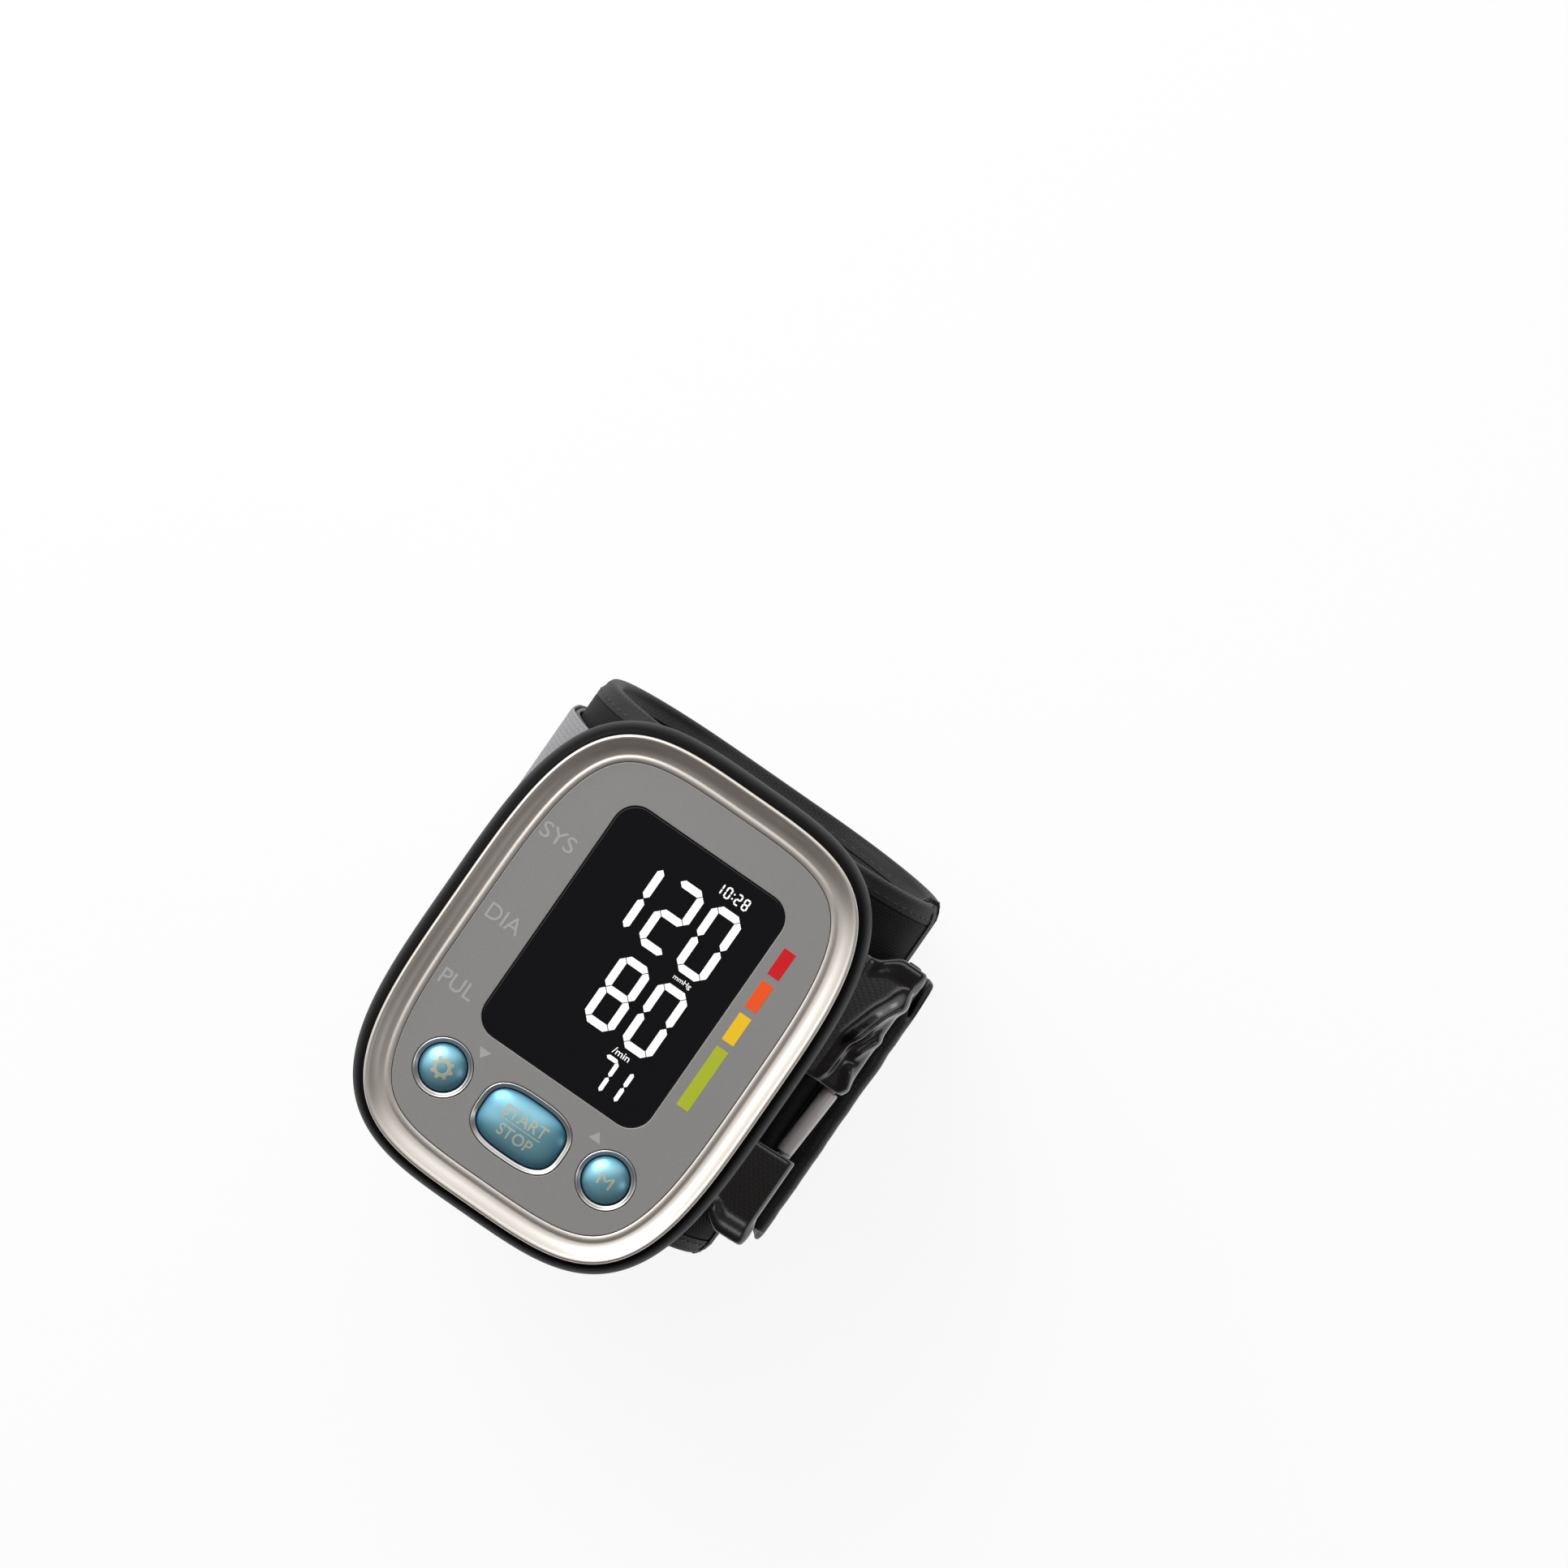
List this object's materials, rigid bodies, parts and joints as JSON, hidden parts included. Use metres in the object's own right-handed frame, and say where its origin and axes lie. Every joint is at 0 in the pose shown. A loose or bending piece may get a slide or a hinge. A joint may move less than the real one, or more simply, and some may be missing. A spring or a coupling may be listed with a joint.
{
  "type": "wrist blood pressure monitor",
  "caption": "Wrist blood pressure monitor: oval-cornered case with a dark screen and pearl keys on an inflatable fabric cuff closed by a strap through a ring.",
  "frame": {"origin": "on the table under the middle of the case, on the flat underside of the strap", "axes": "+Z out of the screen, +X to the reader's right, +Y towards the wearer's hand"},
  "size_m": [0.0802, 0.0883, 0.0812],
  "materials": {
    "bezel_silver": "satin silver plating",
    "face_grey": "fine metallic grain",
    "window_black": "clear gloss over black",
    "case_black": "fine spark texture",
    "key_pearl": "pearl blue gloss",
    "trim_silver": "polished silver plating",
    "cuff_fabric": "black nylon weave",
    "cuff_inner": "brushed black knit",
    "strap_fabric": "black loop pile",
    "panel_grey": "light grey woven tab",
    "ring_black": "black coated steel",
    "steel": "bright steel",
    "cell_jacket": "plain jacket",
    "inner_white": "moulded plastic",
    "inner_black": "moulded plastic",
    "board_green": "solder mask",
    "silicone": "soft silicone",
    "bladder_grey": "coated film",
    "lcd_glass": "display glass"
  },
  "bodies": {
    "root": {"front_bezel": "bezel_silver", "face_panel": "face_grey", "display_window": "window_black", "front_housing": "case_black", "rear_case": "case_black", "case_screw_1": "steel", "case_screw_2": "steel", "case_screw_3": "steel", "case_screw_4": "steel", "settings_button_ring": "trim_silver", "settings_switch": "inner_black", "memory_button_ring": "trim_silver", "memory_switch": "inner_black", "start_stop_button_ring": "trim_silver", "start_stop_switch": "inner_black", "main_board": "board_green", "backlight_panel": "inner_white", "lcd_zebra_strip": "inner_black", "lcd_panel": "lcd_glass", "battery_1": "cell_jacket", "battery_2": "cell_jacket", "battery_contact_positive": "steel", "battery_contact_negative": "steel", "pump_motor": "steel", "pump_head": "inner_white", "pump_diaphragm": "bladder_grey", "exhaust_valve": "steel", "air_manifold": "inner_white", "pressure_sensor": "inner_white", "pump_tube": "silicone", "valve_tube": "silicone", "sensor_tube": "silicone", "cuff_nozzle": "inner_white", "cuff_tube": "silicone", "buzzer": "inner_black", "control_chip": "inner_black", "cuff_lining": "cuff_inner", "air_bladder": "bladder_grey", "cuff_curl": "inner_white", "cuff_cover": "cuff_fabric", "closure_strap": "strap_fabric", "ring_pin": "steel", "ring_tab_upper": "strap_fabric", "ring_tab_lower": "strap_fabric"},
    "settings_key": {"settings_button": "key_pearl", "settings_plunger": "inner_white"},
    "memory_key": {"memory_button": "key_pearl", "memory_plunger": "inner_white"},
    "start_stop_key": {"start_stop_button": "key_pearl", "start_stop_plunger": "inner_white"},
    "battery_door": {"battery_cover": "case_black", "battery_bridge_contact": "steel"},
    "crank": {"pump_crank": "steel"},
    "valve_core": {"valve_plunger": "steel"},
    "ring": {"d_ring": "ring_black"},
    "tail": {"strap_tail": "strap_fabric", "strap_end_panel": "panel_grey"}
  },
  "joints": [
    {"name": "settings_press", "type": "slide", "parent": "root", "child": "settings_key", "axis": [0, 0, -1], "range_m": [0, 0.0006], "stiffness_N_per_m": 1500},
    {"name": "memory_press", "type": "slide", "parent": "root", "child": "memory_key", "axis": [0, 0, -1], "range_m": [0, 0.0006], "stiffness_N_per_m": 1500},
    {"name": "start_stop_press", "type": "slide", "parent": "root", "child": "start_stop_key", "axis": [0, 0, -1], "range_m": [0, 0.0006], "stiffness_N_per_m": 1500},
    {"name": "battery_cover_slide", "type": "slide", "parent": "root", "child": "battery_door", "axis": [-1, 0, 0], "range_m": [0, 0.012]},
    {"name": "crank_spin", "type": "hinge", "parent": "root", "child": "crank", "pos_m": [-0.004, 0.004, 0.06545], "axis": [1, 0, 0], "continuous": true},
    {"name": "valve_plunger_slide", "type": "slide", "parent": "root", "child": "valve_core", "axis": [1, 0, 0], "range_m": [0, 0.0008], "stiffness_N_per_m": 500},
    {"name": "ring_swing", "type": "hinge", "parent": "root", "child": "ring", "pos_m": [0.0398, 0.0039, 0.0445], "axis": [0, 1, 0], "range_deg": [-5, 5]},
    {"name": "strap_tail_peel", "type": "hinge", "parent": "root", "child": "tail", "pos_m": [-0.02642, 0.0118, 0.00773], "axis": [0, -1, 0], "range_deg": [0, 75]}
  ]
}
